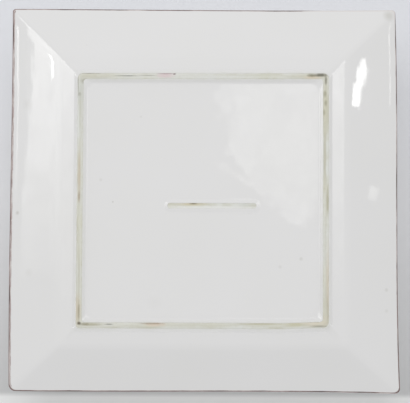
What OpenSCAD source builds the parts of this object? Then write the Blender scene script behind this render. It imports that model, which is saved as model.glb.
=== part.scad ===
// Square serving platter in white-glazed earthenware, lying as it stands on a table.
// The clay is a pressed dish with a foot ring and a centre bar luted under it.
// Three coats of white glaze and a brown enamel line on the lip cover that clay,
// and only the lands of the foot ring and of the bar are left bare.
// Origin: centre of the foot ring, on the table. +Z points up, out of the well.

/* [Outline] */
// Width of the platter across its lip, the same both ways
platter_w = 380; // [350:1:440]
// Height of the lip above the table
lip_h = 31; // [26:0.5:42]
// Plan radius of the lip's four corners
lip_corner_r = 5; // [4:0.5:20]

/* [Well and rim] */
// Width of the well's underside, from fold to fold
well_w = 284; // [274:1:310]
// Climb of the underside between the foot ring and the fold
shoulder_rise = 2; // [0.5:0.25:3]
// Thickness of the clay under the well
floor_t = 7; // [5:0.5:10]
// Thickness of the clay in the rim
rim_t = 6; // [4:0.5:8]
// Radius of the fold under the rim
fold_r = 14; // [6:1:30]
// Radius between the well's floor and the rim
well_r = 12; // [4:1:40]

/* [Foot ring] */
// Width of the foot ring between the middles of its lands
foot_w = 242; // [200:1:250]
// Height of the foot ring under the dish
foot_h = 3; // [2.5:0.25:6]
// Width of the bare land that stands on the table
land_w = 3.5; // [3:0.5:8]
// Lean of each foot wall over its height
foot_draft = 4.5; // [2:0.5:5]
// Plan radius of the foot ring's four corners, at the middle of its land
foot_corner_r = 5; // [3:0.5:7]
// Plan radius of the panel's four corners, inside the foot ring
panel_corner_r = 8; // [4:0.5:12]
// Rounding of the land's edges
land_edge_r = 1; // [0.3:0.1:1.2]

/* [Centre bar] */
// Length of the bar's bare land
bar_l = 86; // [50:1:150]
// Width of the bar's bare land
bar_w = 4; // [3.5:0.5:8]
// Height of the bar under the dish; it is lower than the foot ring and clears the table
bar_h = 1; // [0.8:0.1:2]
// Lean of each wall of the bar over its height
bar_draft = 4; // [2:0.5:5]
// Plan radius of the bar's corners
bar_corner_r = 1.6; // [0.8:0.1:1.9]
// Distance of the bar from the platter's middle, along its length
bar_x = -9; // [-30:1:30]
// Distance of the bar from the platter's middle, across its length
bar_y = -5; // [-30:1:30]

/* [Coats] */
// Thickness of the glaze and of the enamel
coat_t = 0.5; // [0.3:0.1:0.8]
// Radius of the glaze where it pools at the foot of a wall
pool_r = 4; // [1:0.5:5]
// Height of bare clay above the foot ring's land, wiped clean of glaze
bare_h = 0.7; // [0.6:0.1:1.4]
// Height of bare clay above the bar's land, wiped clean of glaze
bar_bare_h = 0.3; // [0.2:0.05:0.5]
// Reach of the enamel below the outermost line of the lip, in degrees
line_below = 55; // [20:5:60]
// Reach of the enamel above the outermost line of the lip, in degrees
line_above = 60; // [20:5:80]

/* [Hidden] */
corner_steps = 8;
fillet_steps = 5;
edge_steps = 3;
lip_steps = 4;
line_steps = 8;

clay_colour = [0.80, 0.80, 0.75];
glaze_colour = [0.87, 0.87, 0.87];
enamel_colour = [0.33, 0.22, 0.20];

lip_r = rim_t / 2;
lip_centre = [platter_w / 2 - coat_t - lip_r, lip_h - coat_t - lip_r];
floor_z = foot_h + floor_t;
fold = [well_w / 2, foot_h + shoulder_rise];

// Slope of the rim: the line from the fold that touches the lip from below
to_lip = lip_centre - fold;
rim_angle = atan2(to_lip.y, to_lip.x) - asin(lip_r / norm(to_lip));
across_rim = [-sin(rim_angle), cos(rim_angle)];
rim_low = lip_centre - lip_r * across_rim;
rim_high = lip_centre + lip_r * across_rim;
well_edge = [rim_high.x - (rim_high.y - floor_z) / tan(rim_angle), floor_z];

bar_middle = [bar_x, bar_y];
bar_land_z = foot_h - bar_h;

// Reach of a cut past the faces that it opens
overrun = [0, 1];

// Paths: a path is a list of [distance from the middle, height] points, walked with the solid on its left

function reversed(list) = [for (i = [len(list) - 1:-1:0]) list[i]];
function unit(v) = v / norm(v);
function turned(v, angle) = [v.x * cos(angle) - v.y * sin(angle), v.x * sin(angle) + v.y * cos(angle)];
function outward(from, to) = let (d = unit(to - from)) [d.y, -d.x];
function turn(before, at, after) =
    let (d = at - before, e = after - at)
    atan2(d.x * e.y - d.y * e.x, d * e);

// A corner of a path as an arc of a given radius
function arc_corner(before, at, after, radius, steps) =
    let (
        angle = turn(before, at, after),
        start = at - unit(at - before) * radius * tan(abs(angle) / 2),
        spoke = outward(before, at) * sign(angle) * radius
    )
    [for (i = [0:steps]) start - spoke + turned(spoke, angle * i / steps)];

// A path through corners, each inner corner rounded by its radius, or left sharp at 0
function rounded(corners, radii, steps) = [
    for (i = [0:len(corners) - 1])
        each (radii[i] == 0 ? [corners[i]]
            : arc_corner(corners[i - 1], corners[i], corners[i + 1], radii[i], steps))
];

// Corners moved outward by a coat's thickness
function coated(corners, thickness) = [
    for (i = [0:len(corners) - 1])
        let (
            last = len(corners) - 1,
            n1 = outward(corners[max(i - 1, 0)], corners[max(i, 1)]),
            n2 = outward(corners[min(i, last - 1)], corners[min(i + 1, last)])
        )
        corners[i] + (n1 + n2) * thickness / (1 + n1 * n2)
];

function lip_arc(thickness, from, to, steps) = [
    for (i = [0:steps])
        let (angle = from + (to - from) * i / steps)
        lip_centre + (lip_r + thickness) * [cos(angle), sin(angle)]
];

// Distance from the middle of the foot ring's wall, inner (-1) or outer (1), at a height
function foot_wall(side, z) = foot_w / 2 + side * (land_w / 2 + foot_draft * z / foot_h);

// Growth of the bar's outline from its land, at a height
function bar_growth(z) = bar_draft * (z - bar_land_z) / bar_h;

// Underside of the rim, from the bare line of the foot ring's outer wall to the enamel
function back_path(thickness) =
    let (
        corners = [
            [foot_wall(1, bare_h), bare_h],
            [foot_wall(1, foot_h), foot_h],
            fold,
            rim_low
        ],
        radii = [0, thickness > 0 ? pool_r : 0, fold_r + thickness, 0]
    )
    concat(
        rounded(coated(corners, thickness), radii, fillet_steps),
        lip_arc(thickness, rim_angle - 90, -line_below, lip_steps)
    );

// Outermost part of the lip, under the enamel line
function line_path(thickness) = lip_arc(thickness, -line_below, line_above, line_steps);

// Upper face, from the enamel line to the flat floor of the well
function face_path(thickness) =
    let (corners = coated([rim_high, well_edge, [0, floor_z]], thickness))
    concat(
        lip_arc(thickness, line_above, rim_angle + 90, lip_steps),
        arc_corner(corners[0], corners[1], corners[2], well_r - thickness, fillet_steps)
    );

// Rings: a ring is a closed level outline with rounded corners, and every ring has as many points

function ring(half, corner_r, z, middle = [0, 0]) = [
    for (quarter = [0:3])
        for (i = [0:corner_steps])
            let (
                angle = 90 * (quarter + i / corner_steps),
                way = [quarter == 0 || quarter == 3 ? 1 : -1, quarter < 2 ? 1 : -1],
                inner = half - [corner_r, corner_r]
            )
            [
                middle.x + way.x * inner.x + corner_r * cos(angle),
                middle.y + way.y * inner.y + corner_r * sin(angle),
                z
            ]
];

// Corners widen from the foot ring's radius to the panel's inside it and to the lip's outside it
function plan_r(half) = lookup(half, [
    [foot_wall(-1, foot_h), panel_corner_r],
    [foot_w / 2, foot_corner_r],
    [platter_w / 2, lip_corner_r]
]);

function platter_ring(p) = ring([p.x, p.x], plan_r(p.x), p.y);
function platter_rings(path) = [for (p = path) platter_ring(p)];

function bar_ring(growth, z) =
    ring([bar_l / 2 + growth, bar_w / 2 + growth], bar_corner_r + growth, z, bar_middle);

// A solid through rings: a closed loop of rings, or an open row of rings with a flat cap at each end
module loft(rings, loop = false) {
    count = len(rings);
    size = len(rings[0]);
    walls = [
        for (i = [0:count - (loop ? 1 : 2)])
            for (j = [0:size - 1])
                let (above = (i + 1) % count, next = (j + 1) % size)
                [i * size + j, above * size + j, above * size + next, i * size + next]
    ];
    caps = [
        [for (j = [0:size - 1]) j],
        [for (j = [size - 1:-1:0]) (count - 1) * size + j]
    ];
    polyhedron(
        points = [for (r = rings) each r],
        faces = concat(walls, loop ? [] : caps),
        convexity = 6
    );
}

// Pressed clay dish: floor, shoulder, rim and rounded lip in one piece
module clay_dish() {
    under = [for (p = back_path(0)) if (p.y >= foot_h) p];
    path = concat(under, line_path(0), face_path(0));
    color(clay_colour) loft(platter_rings(path));
}

// Square foot ring luted under the dish, with leaning walls and a bare land
module foot_ring() {
    opening = foot_side(-1);
    color(clay_colour) difference() {
        loft(platter_rings(foot_side(1)));
        loft(platter_rings(concat([opening[0] - overrun], opening, [opening[len(opening) - 1] + overrun])));
    }
}

// Wall of the foot ring, inner (-1) or outer (1), from its rounded land edge up to the dish
function foot_side(side) =
    let (land = [foot_w / 2, 0], edge = [foot_wall(side, 0), 0], base = [foot_wall(side, foot_h), foot_h])
    concat(arc_corner(land, edge, base, land_edge_r, edge_steps), [base]);

// Short bar luted under the middle, which keeps the wide floor from sagging in the kiln
module centre_bar() {
    middle = [-bar_w / 2, bar_land_z];
    edge = [0, bar_land_z];
    base = [bar_draft, foot_h];
    path = concat(arc_corner(middle, edge, base, land_edge_r, edge_steps), [base]);
    color(clay_colour) loft([for (p = path) bar_ring(p.x, p.y)]);
}

// White glaze over the upper face
module face_glaze() {
    path = concat(reversed(face_path(0)), face_path(coat_t));
    color(glaze_colour) loft(platter_rings(path));
}

// White glaze under the rim and down the outside of the foot ring
module back_glaze() {
    path = concat(back_path(coat_t), reversed(back_path(0)));
    color(glaze_colour) loft(platter_rings(path), loop = true);
}

// White glaze inside the foot ring and round the bar
module panel_glaze() {
    color(glaze_colour) loft(concat(panel_rings(coat_t), reversed(panel_rings(0))), loop = true);
}

// Rings from the bare line of the bar, over the panel, to the bare line of the foot ring's inner wall
function panel_rings(thickness) =
    let (
        radii = [0, thickness > 0 ? pool_r : 0, 0],
        bar_bare_z = bar_land_z + bar_bare_h,
        bar_corners = [[bar_growth(bar_bare_z), bar_bare_z], [bar_draft, foot_h], [bar_l, foot_h]],
        foot_corners = [[0, foot_h], [foot_wall(-1, foot_h), foot_h], [foot_wall(-1, bare_h), bare_h]],
        bar_side = rounded(coated(bar_corners, thickness), radii, fillet_steps),
        foot_side = rounded(coated(foot_corners, thickness), radii, fillet_steps)
    )
    concat(
        [for (i = [0:len(bar_side) - 2]) bar_ring(bar_side[i].x, bar_side[i].y)],
        [for (i = [1:len(foot_side) - 1]) platter_ring(foot_side[i])]
    );

// Brown enamel line round the lip
module lip_line() {
    path = concat(line_path(coat_t), reversed(line_path(0)));
    color(enamel_colour) loft(platter_rings(path), loop = true);
}

clay_dish();
foot_ring();
centre_bar();
face_glaze();
back_glaze();
panel_glaze();
lip_line();
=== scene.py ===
import math

import bmesh
import bpy
from mathutils import Matrix, Vector


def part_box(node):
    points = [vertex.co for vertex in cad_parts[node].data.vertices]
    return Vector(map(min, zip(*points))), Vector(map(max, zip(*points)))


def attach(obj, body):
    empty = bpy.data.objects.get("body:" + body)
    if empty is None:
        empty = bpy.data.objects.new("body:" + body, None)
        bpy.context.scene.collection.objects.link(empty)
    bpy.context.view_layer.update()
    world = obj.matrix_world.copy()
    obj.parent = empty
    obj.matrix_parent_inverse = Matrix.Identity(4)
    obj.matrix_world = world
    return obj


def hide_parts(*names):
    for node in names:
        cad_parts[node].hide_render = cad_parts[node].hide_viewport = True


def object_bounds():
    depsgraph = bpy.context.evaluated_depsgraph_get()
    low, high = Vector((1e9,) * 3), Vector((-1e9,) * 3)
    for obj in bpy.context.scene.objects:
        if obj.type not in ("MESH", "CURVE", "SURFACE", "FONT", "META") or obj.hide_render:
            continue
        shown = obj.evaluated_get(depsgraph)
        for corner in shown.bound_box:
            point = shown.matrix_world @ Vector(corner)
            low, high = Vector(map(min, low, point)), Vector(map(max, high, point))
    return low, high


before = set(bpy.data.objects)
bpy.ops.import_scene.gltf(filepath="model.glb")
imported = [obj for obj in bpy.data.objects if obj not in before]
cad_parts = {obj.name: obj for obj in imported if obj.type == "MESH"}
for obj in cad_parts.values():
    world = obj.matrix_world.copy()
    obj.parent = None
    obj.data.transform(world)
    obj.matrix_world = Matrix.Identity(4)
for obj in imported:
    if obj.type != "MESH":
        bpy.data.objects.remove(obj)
cad_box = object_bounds()


# Camera: behind the platter and a little below its middle, far enough off that the far side
# is only slightly the shorter one. It looks up, through a floor that shows only from above.
mm = 0.001
tilt = math.radians(3.6)
distance = 1.8
roll = math.radians(0.275)
looked_at = Vector((-1.5, -4.3, 0)) * mm
standpoint = Vector((0, -math.sin(tilt), -math.cos(tilt))) * distance

ahead = (looked_at - standpoint).normalized()
level = ahead.cross(Vector((0, 1, 0))).normalized()
upright = level.cross(ahead)
right = level * math.cos(roll) + upright * math.sin(roll)
up = upright * math.cos(roll) - level * math.sin(roll)

lens = bpy.data.cameras.new("camera")
lens.sensor_width = 36
lens.lens = 162.2
camera = bpy.data.objects.new("camera", lens)
camera.matrix_world = Matrix.Translation(standpoint) @ Matrix((right, up, -ahead)).transposed().to_4x4()
bpy.context.collection.objects.link(camera)
bpy.context.scene.camera = camera
bpy.context.scene.view_settings.view_transform = "Standard"


# Clay dish: a slab of earthenware pressed over a square mould, floor, shoulder, rim and lip in
# one piece. The glaze hides all of it. A path of [distance from the middle, height] points gives
# its section, and a square ring with rounded corners is laid through each point.
platter_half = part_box("lip_line")[1].x
lip_top = cad_box[1].z
under_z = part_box("clay_dish")[0].z
foot_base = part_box("foot_ring")[1].x
land_w = 3.5 * mm
foot_draft = 4.5 * mm
foot_half = foot_base - foot_draft - land_w / 2
coat = 0.5 * mm
clay_lip_r = 3 * mm
clay_floor = 7 * mm
well_half = 142 * mm
shoulder_rise = 2 * mm
lip_middle = Vector((platter_half - coat - clay_lip_r, lip_top - coat - clay_lip_r))
shoulder = Vector((foot_base, under_z))
fold = Vector((well_half, under_z + shoulder_rise))
to_lip = lip_middle - fold
rim_slope = math.atan2(to_lip.y, to_lip.x) - math.asin(clay_lip_r / to_lip.length)
below_rim = math.degrees(rim_slope) - 90
above_rim = math.degrees(rim_slope) + 90
floor_z = under_z + clay_floor

# Each corner was rounded by eye, so the radii go by the signs of x and y there. The land's inner
# corners are sharp, and open out to the panel's, which are the foot ring's and a growth.
lip_corner_r = {(1, 1): 3.2 * mm, (-1, 1): 3.8 * mm, (1, -1): 6.5 * mm, (-1, -1): 5 * mm}
foot_corner_r = {(1, 1): 5 * mm, (-1, 1): 5.5 * mm, (1, -1): 3.5 * mm, (-1, -1): 6 * mm}
land_inner_r = 1.5 * mm
panel_growth = 3 * mm
corner_steps = 8
side_cuts = 31


def outline(mesh, half_x, half_y, height, corner_r):
    before = set(mesh.edges)
    corners = bmesh.ops.create_grid(mesh, x_segments=1, y_segments=1, size=1)["verts"]
    bmesh.ops.scale(mesh, vec=(half_x, half_y, 1), verts=corners)
    bmesh.ops.translate(mesh, vec=(0, 0, height), verts=corners)
    for corner in corners:
        quarter = int(math.copysign(1, corner.co.x)), int(math.copysign(1, corner.co.y))
        bmesh.ops.bevel(
            mesh, geom=[corner], offset=corner_r(quarter), offset_type="OFFSET", segments=corner_steps,
            profile=0.5, affect="VERTICES", material=-1,
        )
    edges = [e for e in mesh.edges if e not in before]
    bmesh.ops.delete(mesh, geom=list({f for e in edges for f in e.link_faces}), context="FACES_ONLY")
    long_sides = [e for e in edges if e.calc_length() > half_x]
    bmesh.ops.subdivide_edges(mesh, edges=long_sides, cuts=side_cuts)
    return [e for e in mesh.edges if e not in before]


def platter_ring(mesh, half, height):
    def corner_r(quarter):
        foot_r, lip_r = foot_corner_r[quarter], lip_corner_r[quarter]
        land_inside = foot_half - land_w / 2
        if half < land_inside:
            down_wall = min((land_inside - half) / foot_draft, 1)
            return land_inner_r + down_wall * (foot_r + panel_growth - land_inner_r)
        if half < foot_half:
            return foot_r + (land_inner_r - foot_r) * (foot_half - half) / (land_w / 2)
        return foot_r + (lip_r - foot_r) * (half - foot_half) / (platter_half - foot_half)

    return outline(mesh, half, half, height, corner_r)


def ring_verts(ring):
    return list({v for e in ring for v in e.verts})


# Rings are bridged in a tall stack, where it is plain which way round each one goes, and then set
# to their own heights.
def skin(mesh, ring, path, closed):
    rings = [ring(mesh, at.x, i) for i, at in enumerate(path)]
    for one, other in zip(rings, rings[1:]):
        bmesh.ops.bridge_loops(mesh, edges=one + other)
    if closed:
        bmesh.ops.bridge_loops(mesh, edges=rings[-1] + rings[0])
    else:
        bmesh.ops.edgeloop_fill(mesh, edges=rings[0])
        bmesh.ops.edgeloop_fill(mesh, edges=rings[-1])
    for i, at in enumerate(path):
        bmesh.ops.translate(mesh, vec=(0, 0, at.y - i), verts=ring_verts(rings[i]))
    return rings


def round_over(mesh, ring, reach, segments):
    bmesh.ops.bevel(
        mesh, geom=ring, offset=reach, offset_type="OFFSET", segments=segments, profile=0.5,
        affect="EDGES", material=-1, loop_slide=True,
    )


def between(one, other, count):
    return [one.lerp(other, (i + 1) / (count + 1)) for i in range(count)]


def level_points(height, *halves):
    return [Vector((half * mm, height)) for half in halves]


def lip_arc(radius, start, end, steps):
    angles = [math.radians(start + (end - start) * i / steps) for i in range(steps + 1)]
    return [lip_middle + radius * Vector((math.cos(a), math.sin(a))) for a in angles]


def bowed(t, cubic, square, slope, shift):
    return (((cubic * t + square) * t + slope) * t + shift) * mm


def eased(value, low, high):
    share = min(max((value - low) / (high - low), 0), 1)
    return share * share * (3 - 2 * share)


# Hands bent it all. Each side of the lip bows in its own way. The foot ring sits a little off the
# middle and is not quite as wide as it is long, one of its sides lies askew and one corner was
# pushed in. All above the land swells a few hundredths of a millimetre in slow waves.
rim_from = 0.67
ring_shift_x = 0.6 * mm
ring_shift_y = -3.4 * mm
ring_stretch_x = -0.008
ring_stretch_y = 0.0065
side_lift = 0.2 * mm
side_turn = 0.5 * mm
corner_from = 0.6
corner_push = 1.3 * mm


def hand_made(co):
    x, y, z = co
    u, v = x / platter_half, y / platter_half
    foot_u, foot_v = x / foot_half, y / foot_half
    outer = eased(max(abs(u), abs(v)), rim_from, 1)
    inner = 1 - outer
    plus_x = bowed(v, 1.3, -0.5, -1.3, 1.1)
    minus_x = bowed(v, 2.4, -0.5, -0.2, -1.7)
    plus_y = bowed(u, -0.7, 0.6, 0.4, -1.9)
    minus_y = bowed(u, 1.3, -0.8, -0.8, 0.1)
    lip_x = plus_x * (1 + u) / 2 + minus_x * (1 - u) / 2
    lip_y = plus_y * (1 + v) / 2 + minus_y * (1 - v) / 2
    pushed = corner_push * eased(-foot_u, corner_from, 1) * eased(-foot_v, corner_from, 1)
    askew = (side_lift - side_turn * foot_u) * (1 + foot_v) / 2
    lifted = min(max(z / under_z, 0), 1)
    swell = 0.06 * math.sin(24 * x + 0.5) * math.sin(29 * y + 1.1) + 0.02 * math.sin(58 * x + 17 * y)
    return Vector((
        x + inner * (ring_shift_x + ring_stretch_x * x) + outer * lip_x,
        y + inner * (ring_shift_y + ring_stretch_y * y + askew + pushed) + outer * lip_y,
        z + lifted * swell * mm,
    ))


crease = math.radians(22)


def finished(mesh, name, material, node):
    bmesh.ops.recalc_face_normals(mesh, faces=mesh.faces[:])
    for v in mesh.verts:
        v.co = hand_made(v.co)
    data = bpy.data.meshes.new(name)
    mesh.to_mesh(data)
    mesh.free()
    data.shade_smooth()
    data.set_sharp_from_angle(angle=crease)
    data.materials.append(material)
    piece = bpy.data.objects.new(name, data)
    bpy.context.collection.objects.link(piece)
    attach(piece, "root")
    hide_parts(node)


def srgb(code):
    parts = [int(code[i:i + 2], 16) / 255 for i in (1, 3, 5)]
    return [c / 12.92 if c <= 0.04045 else ((c + 0.055) / 1.055) ** 2.4 for c in parts] + [1]


def add(tree, kind, inputs=None, **settings):
    node = tree.nodes.new(kind)
    for key, value in settings.items():
        setattr(node, key, value)
    for key, value in (inputs or {}).items():
        if isinstance(value, bpy.types.NodeSocket):
            tree.links.new(value, node.inputs[key])
        else:
            node.inputs[key].default_value = value
    return node


# Bare fired earthenware, a chalky near-white body that has been wiped, stood on and handled:
# matt, with soft olive and tan washes, and thin dark lines where dirt has caught along its edges.
clay = bpy.data.materials.new("bare fired earthenware")
clay.use_nodes = True
t = clay.node_tree
t.nodes.clear()
place = add(t, "ShaderNodeTexCoord").outputs["Object"]
across = add(t, "ShaderNodeAttribute", attribute_name="across").outputs["Fac"]
washes = add(t, "ShaderNodeTexNoise", {
    "Vector": place, "Scale": 1 / (45 * mm), "Detail": 3, "Roughness": 0.6,
})
mottle = add(t, "ShaderNodeTexNoise", {
    "Vector": place, "Scale": 1 / (5 * mm), "Detail": 4, "Roughness": 0.65,
})
grit = add(t, "ShaderNodeTexNoise", {"Vector": place, "Scale": 1 / (1.6 * mm), "Detail": 2})
tones = add(t, "ShaderNodeValToRGB", {"Fac": washes.outputs["Fac"]})
tones.color_ramp.elements[0].position = 0.38
tones.color_ramp.elements[0].color = srgb("#d7d8d3")
tones.color_ramp.elements[1].position = 0.64
tones.color_ramp.elements[1].color = srgb("#cfcec0")
tones.color_ramp.elements.new(0.5).color = srgb("#d4d4cb")
grime = add(t, "ShaderNodeMapRange", {
    "Value": mottle.outputs["Fac"], "From Min": 0.48, "From Max": 0.7, "To Max": 0.2,
})
colour = add(t, "ShaderNodeMix", {
    "Factor": grime.outputs["Result"], 6: tones.outputs["Color"], 7: srgb("#b4b098"),
}, data_type="RGBA").outputs[2]
wander = add(t, "ShaderNodeMapRange", {
    "Value": washes.outputs["Fac"], "From Min": 0.3, "From Max": 0.7, "To Min": -1.2, "To Max": 1.4,
})
off_line = add(t, "ShaderNodeMath", {0: across, 1: wander.outputs["Result"]}, operation="SUBTRACT")
beside = add(t, "ShaderNodeMath", {0: off_line.outputs[0]}, operation="ABSOLUTE")
line = add(t, "ShaderNodeMapRange", {
    "Value": beside.outputs[0], "From Min": 0.1, "From Max": 1.1, "To Min": 0.22, "To Max": 0,
})
colour = add(t, "ShaderNodeMix", {
    "Factor": line.outputs["Result"], 6: colour, 7: srgb("#a5a089"),
}, data_type="RGBA").outputs[2]

# Stains, laid one over another: middle x and y, half width and half height in mm, colour, strength.
# First come four broad washes, then dirt, rust and rubbed places round the ring and on the bar.
raggedness = 0.9
stains = [
    (0, 119.5, 95, 6, "#dcdddd", 0.4), (97, -123.6, 26, 5, "#dadbd9", 0.4),
    (0, -123.6, 42, 5, "#c6c4b2", 0.4), (121, -80, 5, 22, "#d8d9d5", 0.4),
    (108, 118.6, 22, 4.5, "#bdb89f", 0.4), (121, 102, 4.5, 20, "#c4c6c0", 0.6),
    (117, 113.4, 4.5, 3.5, "#8f8b74", 0.5), (112, 121.2, 14, 1, "#6f6b57", 0.65),
    (123.6, 111, 1.1, 14, "#76735f", 0.65), (121.5, 100.5, 2.2, 2.2, "#85836f", 0.4),
    (76, 118.6, 13.5, 0.7, "#56564d", 0.55), (54.5, 118.9, 9.5, 0.6, "#77756b", 0.45),
    (37.8, 119, 10.5, 3, "#d2bfc0", 0.8), (37.8, 120.8, 9.5, 0.8, "#a68c90", 0.7),
    (29, 120.5, 1.8, 1.1, "#6d4a4f", 0.8), (-25, 120, 44, 0.8, "#b4b19c", 0.3),
    (-58.6, 119.4, 15.7, 3, "#c6c6b3", 0.3), (-101, 119.2, 24, 4.5, "#c0bba2", 0.35),
    (-118.4, 92, 4.6, 36, "#b9b497", 0.38), (-107, 117.8, 12, 2, "#d6c6ae", 0.6),
    (-106, 119.7, 6, 2.1, "#6a644b", 0.7),
    (-114.5, 120.2, 7.5, 2.4, "#4c4733", 0.8), (-119.2, 115.5, 1.6, 6, "#5f5a43", 0.65),
    (-118.3, 101.5, 1.8, 4.4, "#817c5f", 0.5), (-119, 92.7, 1.8, 4, "#817c5f", 0.5),
    (-117.6, 83.3, 1.6, 3.6, "#8a866d", 0.5), (-118.2, 40, 1.6, 42, "#aaa68b", 0.5),
    (-121, -3.3, 1.6, 15, "#9e9876", 0.55), (-122, -80, 3, 46, "#cfbda7", 0.4),
    (-118.8, -100, 1.6, 22, "#908a70", 0.15), (-120.6, -108, 1.1, 16, "#77715b", 0.2),
    (-112.6, -125, 10, 1.1, "#696453", 0.55), (-107, -122.2, 16, 3.6, "#cfc3ab", 0.5),
    (-118, -119, 4.5, 8, "#c9bfa9", 0.35), (-89.3, -123.4, 14, 3, "#bcb797", 0.7),
    (-56, -123.3, 29, 1.4, "#aea98a", 0.6), (46.5, -124.1, 12, 2.6, "#d2c0ac", 0.7),
    (50, -123.3, 15, 0.9, "#84705f", 0.6), (91, -124.1, 5.2, 0.9, "#727066", 0.65),
    (108, -124.2, 14, 2, "#989270", 0.6), (122, -110, 4.2, 19, "#c8bba5", 0.6),
    (120.6, -112, 1.4, 12, "#837c62", 0.55), (115.6, -124, 5.6, 1.8, "#7d755a", 0.5),
    (120.2, -123.2, 2.5, 2, "#4f452f", 0.85),
    (120.6, -77, 1.4, 30, "#a5a189", 0.35), (121.4, 21, 2, 29, "#b9a688", 0.5),
    (121.3, 0, 1.5, 7, "#8d7453", 0.5), (121, 79, 1.2, 26, "#b5b4a3", 0.5),
    (-9, -10.2, 70, 2.6, "#e0e0dd", 0.8), (11.7, -7, 16.5, 2, "#cbbf9f", 0.6),
    (9.7, -6.4, 5.8, 1, "#5b4c30", 0.65), (-42, -7, 10.5, 2, "#c6c8c2", 0.5),
]
for x, y, half_x, half_y, code, strength in stains:
    spot = add(t, "ShaderNodeMapping", {
        "Vector": place,
        "Location": (-x / half_x, -y / half_y, 0),
        "Scale": (1 / (half_x * mm), 1 / (half_y * mm), 0),
    })
    size = add(t, "ShaderNodeVectorMath", {0: spot.outputs["Vector"]}, operation="LENGTH")
    ragged = add(t, "ShaderNodeMath", {
        0: mottle.outputs["Fac"], 1: raggedness, 2: size.outputs["Value"],
    }, operation="MULTIPLY_ADD")
    amount = add(t, "ShaderNodeMapRange", {
        "Value": ragged.outputs[0], "From Min": 0.75, "From Max": 1.5, "To Min": strength, "To Max": 0,
    })
    colour = add(t, "ShaderNodeMix", {
        "Factor": amount.outputs["Result"], 6: colour, 7: srgb(code),
    }, data_type="RGBA").outputs[2]

relief = add(t, "ShaderNodeBump", {"Height": grit.outputs["Fac"], "Strength": 0.5, "Distance": 0.12 * mm})
shader = add(t, "ShaderNodeBsdfPrincipled", {
    "Base Color": colour, "Roughness": 0.7, "IOR": 1.45, "Normal": relief.outputs["Normal"],
})
add(t, "ShaderNodeOutputMaterial", {"Surface": shader.outputs["BSDF"]})

lip_steps = 12
floor_rings = (20, 60, 100)
clay_lip = lip_arc(clay_lip_r, below_rim, above_rim, lip_steps)
well_edge = Vector((clay_lip[-1].x - (clay_lip[-1].y - floor_z) / math.tan(rim_slope), floor_z))
path = level_points(under_z, *floor_rings) + [shoulder, fold] + clay_lip + [well_edge]
path += level_points(floor_z, *floor_rings[::-1])
mesh = bmesh.new()
skin(mesh, platter_ring, path, closed=False)
finished(mesh, "clay_dish_pressed", clay, "clay_dish")


# Foot ring: a low square coil of the same clay, luted on under the floor and trimmed to leaning
# walls. Its land was wiped clean of glaze so that it would not stick to the kiln shelf.
land_edge_r = 0.4 * mm
edge_steps = 4
inner_base = Vector((foot_half - land_w / 2 - foot_draft, under_z))
land = [Vector((foot_half + side * land_w / 2, 0)) for side in (-1, 0, 1)]
path = [inner_base] + land + [shoulder]
mesh = bmesh.new()
off_land = mesh.verts.layers.float.new("across")
rings = skin(mesh, platter_ring, path, closed=True)
for ring, at in zip(rings, path):
    for v in ring_verts(ring):
        v[off_land] = (at.x - foot_half) / (land_w / 2)
round_over(mesh, rings[1], land_edge_r, edge_steps)
round_over(mesh, rings[3], land_edge_r, edge_steps)
finished(mesh, "foot_ring_trimmed", clay, "foot_ring")


# Centre bar: a short roll of the same clay, luted on across the middle and pressed down low.
# It is there to catch the wide floor if it sags in the kiln, and its land is wiped bare too.
bar_low, bar_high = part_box("centre_bar")
bar_draft = 4 * mm
bar_half = (bar_high - bar_low) / 2 - Vector((bar_draft, bar_draft, 0))
bar_middle = (bar_low + bar_high) / 2 * Vector((1, 1, 0))
bar_land_z = bar_low.z
bar_corner_r = 1.6 * mm
bar_edge_r = 0.3 * mm


def bar_ring(mesh, growth, height):
    def corner_r(quarter):
        return bar_corner_r + growth

    return outline(mesh, bar_half.x + growth, bar_half.y + growth, height, corner_r)


mesh = bmesh.new()
off_land = mesh.verts.layers.float.new("across")
rings = skin(mesh, bar_ring, [Vector((0, bar_land_z)), Vector((bar_draft, under_z))], closed=False)
round_over(mesh, rings[0], bar_edge_r, edge_steps)
for v in mesh.verts:
    v[off_land] = v.co.y / bar_half.y
bmesh.ops.translate(mesh, vec=bar_middle, verts=mesh.verts[:])
finished(mesh, "centre_bar_luted", clay, "centre_bar")


# Panel glaze: the coat inside the foot ring, which covers the panel and rounds the corner where it
# meets the ring's inner wall. It thins out along that wall, to the line where it was wiped off, and
# greys there, partly with clay showing through and partly with painted shade.
bare_h = 0.7 * mm
wall_run = foot_draft / under_z
wall_foot_r = 1.3 * mm
wall_foot_steps = 6
coat_end_r = 0.15 * mm
coat_end_steps = 3


def coated(path):
    moved = []
    for i, at in enumerate(path):
        after = path[i + 1] - at if i + 1 < len(path) else at - path[i - 1]
        before = at - path[i - 1] if i else after
        out_before = Vector((before.y, -before.x)).normalized()
        out_after = Vector((after.y, -after.x)).normalized()
        moved.append(at + (out_before + out_after) * coat / (1 + out_before.dot(out_after)))
    return moved


# How near each point lies to the wiped line. This sets the grey tint there, which is partly clay showing
# through the thin glaze and partly painted shade.
def thin_and_shaded_towards(mesh, whole, bare):
    thin_and_shaded_layer = mesh.verts.layers.float.new("thin_and_shaded")
    for v in mesh.verts:
        v[thin_and_shaded_layer] = min(max((max(abs(v.co.x), abs(v.co.y)) - whole) / (bare - whole), 0), 1)


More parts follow.
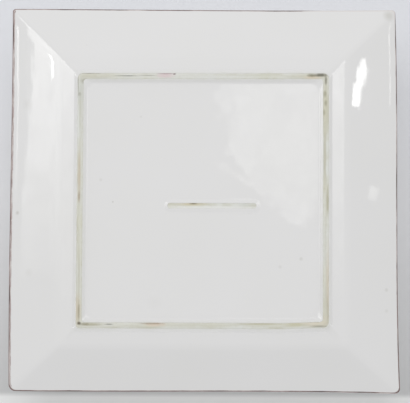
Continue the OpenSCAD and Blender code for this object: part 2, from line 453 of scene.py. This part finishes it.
# White tin glaze, opaque and dipped on, so it is glossy and smooth but never flat: it pulls slow
# waves into every reflection, deepest on the panel, and runs in ripples along the rim. Specks are
# fired into it, and enamel bled in along one lip. Towards the wiped lines on the foot ring's walls
# it greys, partly clay showing through where it was wiped thin and partly painted shade.
glaze = bpy.data.materials.new("white tin glaze")
glaze.use_nodes = True
t = glaze.node_tree
t.nodes.clear()
place = add(t, "ShaderNodeTexCoord").outputs["Object"]
clouds = add(t, "ShaderNodeTexNoise", {"Vector": place, "Scale": 1 / (90 * mm), "Detail": 2})
colour = add(t, "ShaderNodeMix", {
    "Factor": clouds.outputs["Fac"], 6: srgb("#dedddd"), 7: srgb("#dbdad8"),
}, data_type="RGBA").outputs[2]

# Specks: middle x, y and z and reach in mm, strength. Each is whole over its inner fifth.
speck_core = 0.2
specks = [
    (183.1, -15.1, 22.2, 2.6, 0.3), (88.4, -4.9, 2.5, 1.2, 0.3), (100.3, 16.6, 2.5, 2, 0.14),
    (-95.3, -59.7, 2.5, 2.4, 0.18), (-74.9, -67.6, 2.5, 2.4, 0.12), (-180, -89.3, 20.9, 2.6, 0.2),
    (-180, -109.9, 20.9, 2.6, 0.14), (61.6, 78.6, 2.5, 1.5, 0.12), (115.5, 150.2, 8.1, 1.5, 0.12),
    (-183, 183, 23, 7, 0.24), (174, 92, 18, 7, 0.07), (171, -74, 17, 5, 0.06), (47, -103, 2.5, 9, 0.03),
]
for x, y, z, reach, strength in specks:
    away = add(t, "ShaderNodeVectorMath", {0: place, 1: (x * mm, y * mm, z * mm)}, operation="DISTANCE")
    amount = add(t, "ShaderNodeMapRange", {
        "Value": away.outputs["Value"], "From Min": speck_core * reach * mm, "From Max": reach * mm,
        "To Min": strength, "To Max": 0,
    })
    colour = add(t, "ShaderNodeMix", {
        "Factor": amount.outputs["Result"], 6: colour, 7: srgb("#86816a"),
    }, data_type="RGBA").outputs[2]

# The grey towards the wiped line is partly clay showing through the thin glaze and partly painted shade on
# the foot ring's walls.
thin_and_shaded = add(t, "ShaderNodeAttribute", attribute_name="thin_and_shaded").outputs["Fac"]
patchy = add(t, "ShaderNodeTexNoise", {
    "Vector": place, "Scale": 1 / (12 * mm), "Detail": 3, "Roughness": 0.6,
})
tint_and_shade_amount = add(t, "ShaderNodeMapRange", {
    "Value": patchy.outputs["Fac"], "From Min": 0.3, "From Max": 0.7, "To Min": 0, "To Max": 0.4,
})
clay_tint_and_shade = add(t, "ShaderNodeMath", {0: thin_and_shaded, 1: tint_and_shade_amount.outputs["Result"]}, operation="MULTIPLY")
colour = add(t, "ShaderNodeMix", {
    "Factor": clay_tint_and_shade.outputs[0], 6: colour, 7: srgb("#cbccc0"),
}, data_type="RGBA").outputs[2]
bled = add(t, "ShaderNodeAttribute", attribute_name="bled").outputs["Fac"]
bleed_patches = 0.15
bleeds = add(t, "ShaderNodeMath", {
    0: patchy.outputs["Fac"], 1: bleed_patches, 2: bled,
}, operation="MULTIPLY_ADD")
enamelled = add(t, "ShaderNodeMapRange", {
    "Value": bleeds.outputs[0], "From Min": 1.02, "From Max": 1.08, "To Max": 0.8,
})
colour = add(t, "ShaderNodeMix", {
    "Factor": enamelled.outputs["Result"], 6: colour, 7: srgb("#7a5852"),
}, data_type="RGBA").outputs[2]

# Ripples lie along each side of the rim, so they are stretched along x on two sides and y on two.
spot = add(t, "ShaderNodeSeparateXYZ", {"Vector": place})
off_x = add(t, "ShaderNodeMath", {0: spot.outputs["X"]}, operation="ABSOLUTE")
off_y = add(t, "ShaderNodeMath", {0: spot.outputs["Y"]}, operation="ABSOLUTE")
off_middle = add(t, "ShaderNodeMath", {0: off_x.outputs[0], 1: off_y.outputs[0]}, operation="MAXIMUM")
upright_side = add(t, "ShaderNodeMath", {
    0: off_x.outputs[0], 1: off_y.outputs[0],
}, operation="GREATER_THAN")
along = add(t, "ShaderNodeMix", {
    "Factor": upright_side.outputs[0], 2: spot.outputs["X"], 3: spot.outputs["Y"],
})
run = add(t, "ShaderNodeCombineXYZ", {
    "X": off_middle.outputs[0], "Y": along.outputs[0], "Z": upright_side.outputs[0],
})
stretched = add(t, "ShaderNodeMapping", {
    "Vector": run.outputs["Vector"], "Scale": (1 / (7 * mm), 1 / (90 * mm), 7),
})
ripples = add(t, "ShaderNodeTexNoise", {"Vector": stretched.outputs["Vector"], "Scale": 1, "Detail": 1})
on_rim = add(t, "ShaderNodeMapRange", {
    "Value": off_middle.outputs[0], "From Min": 128 * mm, "From Max": 140 * mm,
})
rim_ripples = add(t, "ShaderNodeMath", {
    0: ripples.outputs["Fac"], 1: on_rim.outputs["Result"],
}, operation="MULTIPLY")
waves = add(t, "ShaderNodeTexNoise", {
    "Vector": place, "Scale": 1 / (22 * mm), "Detail": 1, "Roughness": 0.4,
})
depth = add(t, "ShaderNodeMapRange", {
    "Value": off_middle.outputs[0], "From Min": 110 * mm, "From Max": 130 * mm, "To Min": 3.5, "To Max": 1,
})
slow_waves = add(t, "ShaderNodeMath", {
    0: waves.outputs["Fac"], 1: depth.outputs["Result"],
}, operation="MULTIPLY")
wavy = add(t, "ShaderNodeBump", {"Height": slow_waves.outputs[0], "Strength": 1, "Distance": 0.05 * mm})
rippled = add(t, "ShaderNodeBump", {
    "Height": rim_ripples.outputs[0], "Strength": 1, "Distance": 0.02 * mm, "Normal": wavy.outputs["Normal"],
})
shader = add(t, "ShaderNodeBsdfPrincipled", {
    "Base Color": colour, "Roughness": 0.035, "IOR": 1.5, "Normal": rippled.outputs["Normal"],
})
add(t, "ShaderNodeOutputMaterial", {"Surface": shader.outputs["BSDF"]})

inner_line = Vector((foot_half - land_w / 2 - wall_run * bare_h, bare_h))
clay_side = level_points(under_z, *floor_rings) + [inner_base, inner_line]
mesh = bmesh.new()
rings = skin(mesh, platter_ring, coated(clay_side) + clay_side[::-1], closed=False)
round_over(mesh, rings[len(floor_rings)], wall_foot_r, wall_foot_steps)
round_over(mesh, rings[len(floor_rings) + 1], coat_end_r, coat_end_steps)
thin_and_shaded_towards(mesh, inner_base.x, inner_line.x)
finished(mesh, "panel_glaze_coat", glaze, "panel_glaze")


# Bar glaze: the same coat where it climbs the low walls of the centre bar and pools round its
# foot. It was wiped off the bar's land with the ring's, so it ends in a soft step round it. Its
# outer edge sinks a little into the panel's coat, which it runs into.
bar_bare_h = 0.15 * mm
bar_coat_reach = 8 * mm
bar_coat_sink = 0.03 * mm
bar_foot_r = 1 * mm
clay_side = [
    Vector((bar_draft * bar_bare_h / (under_z - bar_land_z), bar_land_z + bar_bare_h)),
    Vector((bar_draft, under_z)),
    Vector((bar_coat_reach, under_z + bar_coat_sink)),
]
mesh = bmesh.new()
rings = skin(mesh, bar_ring, coated(clay_side) + clay_side[::-1], closed=True)
round_over(mesh, rings[0], coat_end_r, coat_end_steps)
round_over(mesh, rings[1], bar_foot_r, wall_foot_steps)
bmesh.ops.translate(mesh, vec=bar_middle, verts=mesh.verts[:])
finished(mesh, "bar_glaze_coat", glaze, "panel_glaze")


# Back glaze: the coat under the rim, from the enamel line on the lip, over the soft fold, to the
# foot ring's outer wall, where it thins out to the wiped line and greys, partly with clay showing
# through and partly with painted shade. A ring close to that line holds the wall flat, so that the
# rounded end doesn't bend the wall's reflections. Enamel bled into one side.
glaze_lip_r = clay_lip_r + coat
line_below = -55
line_above = 60
held_at = 0.12
fold_reach = 4.5 * mm
fold_steps = 8
under_lip_steps = 3
under_rim_rings = 4
bare_line = Vector((foot_half + land_w / 2 + wall_run * bare_h, bare_h))
rim_top = lip_arc(clay_lip_r, below_rim, line_below, under_lip_steps)
wall_side = [bare_line, bare_line.lerp(shoulder, held_at), shoulder, fold]
rim_side = between(fold, rim_top[0], under_rim_rings)
clay_side = wall_side + rim_side + rim_top
coat_side = coated(wall_side + rim_side + rim_top[:1])[:-1]
coat_side += lip_arc(glaze_lip_r, below_rim, line_below, under_lip_steps)
mesh = bmesh.new()
rings = skin(mesh, platter_ring, coat_side + clay_side[::-1], closed=True)
round_over(mesh, rings[0], coat_end_r, coat_end_steps)
round_over(mesh, rings[len(wall_side) - 1], fold_reach, fold_steps)
thin_and_shaded_towards(mesh, shoulder.x, bare_line.x)
bleed = mesh.verts.layers.float.new("bled")
for v in mesh.verts:
    v[bleed] = v.co.x > lip_middle.x
finished(mesh, "back_glaze_coat", glaze, "back_glaze")


# Face glaze: the coat over the well and the rim's upper side, up to the enamel line. It is one
# dip with the rest, and the deep curve round the well's floor holds a little more of it.
over_lip_steps = 6
over_rim_rings = 3
floor_edge_ring = 128
well_reach = 2.4 * mm
well_steps = 8
rim_top = lip_arc(clay_lip_r, line_above, above_rim, over_lip_steps)
rim_side = between(rim_top[-1], well_edge, over_rim_rings)
well_floor = level_points(floor_z, floor_edge_ring, *floor_rings[::-1])
clay_side = rim_top + rim_side + [well_edge] + well_floor
coat_side = lip_arc(glaze_lip_r, line_above, above_rim, over_lip_steps)
coat_side += coated(rim_top[-1:] + rim_side + [well_edge] + well_floor)[1:]
mesh = bmesh.new()
rings = skin(mesh, platter_ring, clay_side[::-1] + coat_side, closed=False)
round_over(mesh, rings[-1 - len(well_floor)], well_reach, well_steps)
finished(mesh, "face_glaze_coat", glaze, "face_glaze")


# Lip line: a reddish-brown enamel drawn round the lip with a loaded brush over the fired glaze,
# so it is thin, uneven along its edges and worn almost through in places.

# Brown lip enamel: dark and light brush strokes with a soft sheen, which fray to white at the edges
# of the line. It is rubbed nearly away by one corner, and a little along the side next to it.
enamel = bpy.data.materials.new("brown lip enamel")
enamel.use_nodes = True
t = enamel.node_tree
t.nodes.clear()
place = add(t, "ShaderNodeTexCoord").outputs["Object"]
across = add(t, "ShaderNodeAttribute", attribute_name="across").outputs["Fac"]
strokes = add(t, "ShaderNodeTexNoise", {
    "Vector": place, "Scale": 1 / (30 * mm), "Detail": 4, "Roughness": 0.6,
})
flecks = add(t, "ShaderNodeTexNoise", {"Vector": place, "Scale": 1 / (4 * mm), "Detail": 2})
tones = add(t, "ShaderNodeValToRGB", {"Fac": strokes.outputs["Fac"]})
tones.color_ramp.elements[0].position = 0.32
tones.color_ramp.elements[0].color = srgb("#4b3836")
tones.color_ramp.elements[1].position = 0.7
tones.color_ramp.elements[1].color = srgb("#84615b")
rubbed_core = 0.4
fraying = 0.9
wear = add(t, "ShaderNodeMath", {0: across}, operation="ABSOLUTE").outputs[0]
for x, y, reach, amount in ((-150, 190, 55, 0.9), (-190, 40, 150, 0.12)):
    away = add(t, "ShaderNodeVectorMath", {0: place, 1: (x * mm, y * mm, lip_top)}, operation="DISTANCE")
    rubbed = add(t, "ShaderNodeMapRange", {
        "Value": away.outputs["Value"], "From Min": rubbed_core * reach * mm, "From Max": reach * mm,
        "To Min": amount, "To Max": 0,
    })
    wear = add(t, "ShaderNodeMath", {0: wear, 1: rubbed.outputs["Result"]}, operation="ADD").outputs[0]
frayed = add(t, "ShaderNodeMath", {
    0: strokes.outputs["Fac"], 1: fraying, 2: wear,
}, operation="MULTIPLY_ADD")
worn = add(t, "ShaderNodeMapRange", {"Value": frayed.outputs[0], "From Min": 1.2, "From Max": 1.5})
colour = add(t, "ShaderNodeMix", {
    "Factor": worn.outputs["Result"], 6: tones.outputs["Color"], 7: srgb("#d8d3d0"),
}, data_type="RGBA")
relief = add(t, "ShaderNodeBump", {"Height": flecks.outputs["Fac"], "Strength": 0.4, "Distance": 0.05 * mm})
shader = add(t, "ShaderNodeBsdfPrincipled", {
    "Base Color": colour.outputs[2], "Roughness": 0.3, "IOR": 1.5, "Normal": relief.outputs["Normal"],
})
add(t, "ShaderNodeOutputMaterial", {"Surface": shader.outputs["BSDF"]})

line_steps = 14
under_line_steps = 5
coat_side = lip_arc(glaze_lip_r, line_below, line_above, line_steps)
clay_side = lip_arc(clay_lip_r, line_above, line_below, under_line_steps)
mesh = bmesh.new()
off_line_middle = mesh.verts.layers.float.new("across")
rings = skin(mesh, platter_ring, coat_side + clay_side, closed=True)
for i in range(line_steps + 1):
    for v in ring_verts(rings[i]):
        v[off_line_middle] = 2 * i / line_steps - 1
finished(mesh, "lip_line_brushed", enamel, "lip_line")


# Stage: a pale floor that the platter stands on, seen only from above, and a pale wall over it,
# seen only from below, with painted shade that greys it downwards, darkest just above the paler
# strip it ends in. Only the camera sees them, and light passes both, so each side of the platter
# has its own lamp.
floor_half = 3
floor_drop = 0.1 * mm
wall_half = 0.9
wall_height = 0.12
wall_fade = 0.2


def one_sided(name, colour_of):
    material = bpy.data.materials.new(name)
    material.use_nodes = True
    tree = material.node_tree
    tree.nodes.clear()
    seen = add(tree, "ShaderNodeLightPath").outputs["Is Camera Ray"]
    back = add(tree, "ShaderNodeNewGeometry").outputs["Backfacing"]
    front = add(tree, "ShaderNodeMath", {0: seen, 1: back}, operation="SUBTRACT", use_clamp=True)
    paint = add(tree, "ShaderNodeBsdfDiffuse", {"Color": colour_of(tree)})
    clear = add(tree, "ShaderNodeBsdfTransparent")
    mixed = add(tree, "ShaderNodeMixShader", {
        0: front.outputs[0], 1: clear.outputs["BSDF"], 2: paint.outputs["BSDF"],
    })
    add(tree, "ShaderNodeOutputMaterial", {"Surface": mixed.outputs["Shader"]})
    return material


def floor_colour(tree):
    return srgb("#dededf")


def wall_colour_and_shade(tree):
    spot = add(tree, "ShaderNodeTexCoord").outputs["Object"]
    height = add(tree, "ShaderNodeSeparateXYZ", {"Vector": spot}).outputs["Y"]
    upward = add(tree, "ShaderNodeMapRange", {
        "Value": height, "From Min": -wall_fade, "From Max": wall_fade,
    })
    # The grey low on the wall is painted shade, darkest just above the palest strip, which is the table top.
    table_and_shade_ramp = add(tree, "ShaderNodeValToRGB", {"Fac": upward.outputs["Result"]})
    table_and_shade_ramp.color_ramp.elements[0].position = 0
    table_and_shade_ramp.color_ramp.elements[0].color = srgb("#e6e6e5")
    table_and_shade_ramp.color_ramp.elements[1].position = 1
    table_and_shade_ramp.color_ramp.elements[1].color = srgb("#dcdde1")
    table_and_shade_ramp.color_ramp.elements.new(0.0125).color = srgb("#c2c2c2")
    table_and_shade_ramp.color_ramp.elements.new(0.5).color = srgb("#d7d7d9")
    return table_and_shade_ramp.outputs["Color"]


for name, half, height, facing_up, colour_of in (
    ("floor", floor_half, -floor_drop, True, floor_colour),
    ("wall", wall_half, wall_height, False, wall_colour_and_shade),
):
    mesh = bmesh.new()
    bmesh.ops.create_grid(mesh, x_segments=1, y_segments=1, size=half)
    bmesh.ops.translate(mesh, vec=(0, 0, height), verts=mesh.verts[:])
    if not facing_up:
        bmesh.ops.reverse_faces(mesh, faces=mesh.faces[:])
    data = bpy.data.meshes.new(name)
    mesh.to_mesh(data)
    mesh.free()
    data.materials.append(one_sided("pale " + name, colour_of))
    sheet = bpy.data.objects.new(name, data)
    bpy.context.collection.objects.link(sheet)

# Light: a soft key lamp on each side of the platter, in an even pale room. The gloss of the back
# doesn't show its lamp, because the cards below stand in for what it reflects.
lamp_size = 1.6
for name, stands, watts, reflected in (
    ("key_behind", (0.3, 1.15, -2.37), 21.6, False),
    ("key_above", (-0.9, -1.2, 2.3), 24, True),
):
    lamp = bpy.data.lights.new(name, "AREA")
    lamp.size = lamp_size
    lamp.energy = watts
    light = bpy.data.objects.new(name, lamp)
    light.location = stands
    light.rotation_euler = (-Vector(stands)).to_track_quat("-Z", "Y").to_euler()
    light.visible_camera = False
    light.visible_glossy = reflected
    bpy.context.collection.objects.link(light)

room_strength = 0.83
world = bpy.data.worlds.new("pale room")
world.use_nodes = True
world.node_tree.nodes["Background"].inputs["Color"].default_value = srgb("#f4f5f6")
world.node_tree.nodes["Background"].inputs["Strength"].default_value = room_strength
bpy.context.scene.world = world

# Reflection cards: sheets round the back of the platter that only its gloss sees. They put the
# windows and walls of a lit room into the glaze, most of them brightest at their upper edges. A
# card may have a corner cut off, or a soft border that falls to the glow of the room itself.
room_glow = 0.75
gleam = bpy.data.materials.new("lit card")
gleam.use_nodes = True
t = gleam.node_tree
t.nodes.clear()
place = add(t, "ShaderNodeTexCoord").outputs["Object"]
glow = add(t, "ShaderNodeAttribute", attribute_name="glow").outputs["Fac"]
patches = add(t, "ShaderNodeTexNoise", {
    "Vector": place, "Scale": 1 / (45 * mm), "Detail": 3, "Roughness": 0.6,
})
uneven = add(t, "ShaderNodeMapRange", {
    "Value": patches.outputs["Fac"], "From Min": 0.3, "From Max": 0.7, "To Min": 0.7, "To Max": 1.3,
})
strength = add(t, "ShaderNodeMath", {0: glow, 1: uneven.outputs["Result"]}, operation="MULTIPLY")
shine = add(t, "ShaderNodeEmission", {"Color": srgb("#fffffd"), "Strength": strength.outputs[0]})
add(t, "ShaderNodeOutputMaterial", {"Surface": shine.outputs["Emission"]})

# Middle, width and height in metres, lean in degrees, the share cut off the lower (plus) or upper
# (minus) corner on the right as the platter sees it, the share that is soft, and the glow at the
# foot, middle and top.
for name, middle, width, height, lean, cut, soft, low, mid, high in (
    ("window_right_low", (-0.5258, 0.1629, -0.327), 0.0165, 0.0295, 9, 0, 0, 11, 11, 11),
    ("window_right_high", (-0.5234, 0.1915, -0.3143), 0.012, 0.035, 6, -0.65, 0, 11, 11, 11),
    ("strip_right", (-0.5678, 0.2085, -0.2774), 0.0036, 0.125, 4.6, 0, 0, 5, 5, 6),
    ("pane_right", (-0.548, 0.038, -0.3135), 0.0138, 0.0176, 12, 0, 0, 3, 3, 3),
    ("pane_left", (0.5326, 0.197, -0.3093), 0.008, 0.032, -4, 0, 0, 10, 16, 18),
    ("cloud_right", (-0.229, 0.2465, -1.7425), 0.402, 0.407, 0, 0.35, 0.05, 2, 2.1, 2.2),
    ("wall_right", (-0.668, 0.21, -1.537), 0.3, 0.6, 0, 0, 0, 0.8, 2.3, 4),
    ("window_left", (1.261, 0.385, -1.189), 0.52, 0.9, 0, -0.49, 0, 0.8, 4.4, 4.4),
    ("strip_left", (0.5959, 0.1375, -0.2872), 0.0055, 0.222, -4.2, 0, 0, 1.2, 5, 5.6),
    ("wall_left", (0.69, 0.22, -1.525), 0.47, 0.62, 0, 0, 0, 0.9, 2.1, 5),
    ("corner_left", (0.99, 0.3, -1.4), 0.24, 0.75, 0, 0, 0, 0.8, 3.2, 4.6),
    ("lip_left", (0.8, 0.05, -0.327), 0.074, 0.7, 0, 0, 0, 7.5, 7.5, 7.5),
    ("lip_right", (-0.8, 0.05, -0.327), 0.074, 0.7, 0, 0, 0, 2.6, 2.6, 2.6),
    ("lip_below", (0, -1.6, -0.75), 1.4, 0.35, 0, 0, 0, 1.8, 1.8, 1.8),
):
    mesh = bmesh.new()
    bmesh.ops.create_grid(mesh, x_segments=1, y_segments=1, size=0.5)
    if cut:
        corner = max(mesh.verts, key=lambda v: v.co.x - math.copysign(1, cut) * v.co.y)
        bmesh.ops.bevel(
            mesh, geom=[corner], offset=abs(cut), offset_type="OFFSET", segments=1, profile=0.5,
            affect="VERTICES", material=-1,
        )
    whole = mesh.verts[:] + mesh.edges[:] + mesh.faces[:]
    bmesh.ops.bisect_plane(mesh, geom=whole, plane_co=(0, 0, 0), plane_no=(0, 1, 0))
    if soft:
        bmesh.ops.inset_region(
            mesh, faces=mesh.faces[:], thickness=soft, use_boundary=True, use_even_offset=True,
        )
    brightness = mesh.verts.layers.float.new("glow")
    for v in mesh.verts:
        v[brightness] = mid + 2 * abs(v.co.y) * ((high if v.co.y > 0 else low) - mid)
        if soft and v.is_boundary:
            v[brightness] = room_glow
    facing = -Vector(middle).normalized()
    side = Vector((0, 1, 0)).cross(facing).normalized()
    turned = Matrix((side, facing.cross(side), facing)).transposed().to_4x4()
    leaned = Matrix.Rotation(math.radians(lean), 4, "Z")
    sized = Matrix.Diagonal((width, height, 1, 1))
    placed = Matrix.Translation(middle) @ turned @ leaned @ sized
    bmesh.ops.transform(mesh, matrix=placed, verts=mesh.verts[:])
    data = bpy.data.meshes.new(name)
    mesh.to_mesh(data)
    mesh.free()
    data.materials.append(gleam)
    sheet = bpy.data.objects.new(name, data)
    bpy.context.collection.objects.link(sheet)
    sheet.visible_camera = False
    sheet.visible_diffuse = False
    sheet.visible_shadow = False
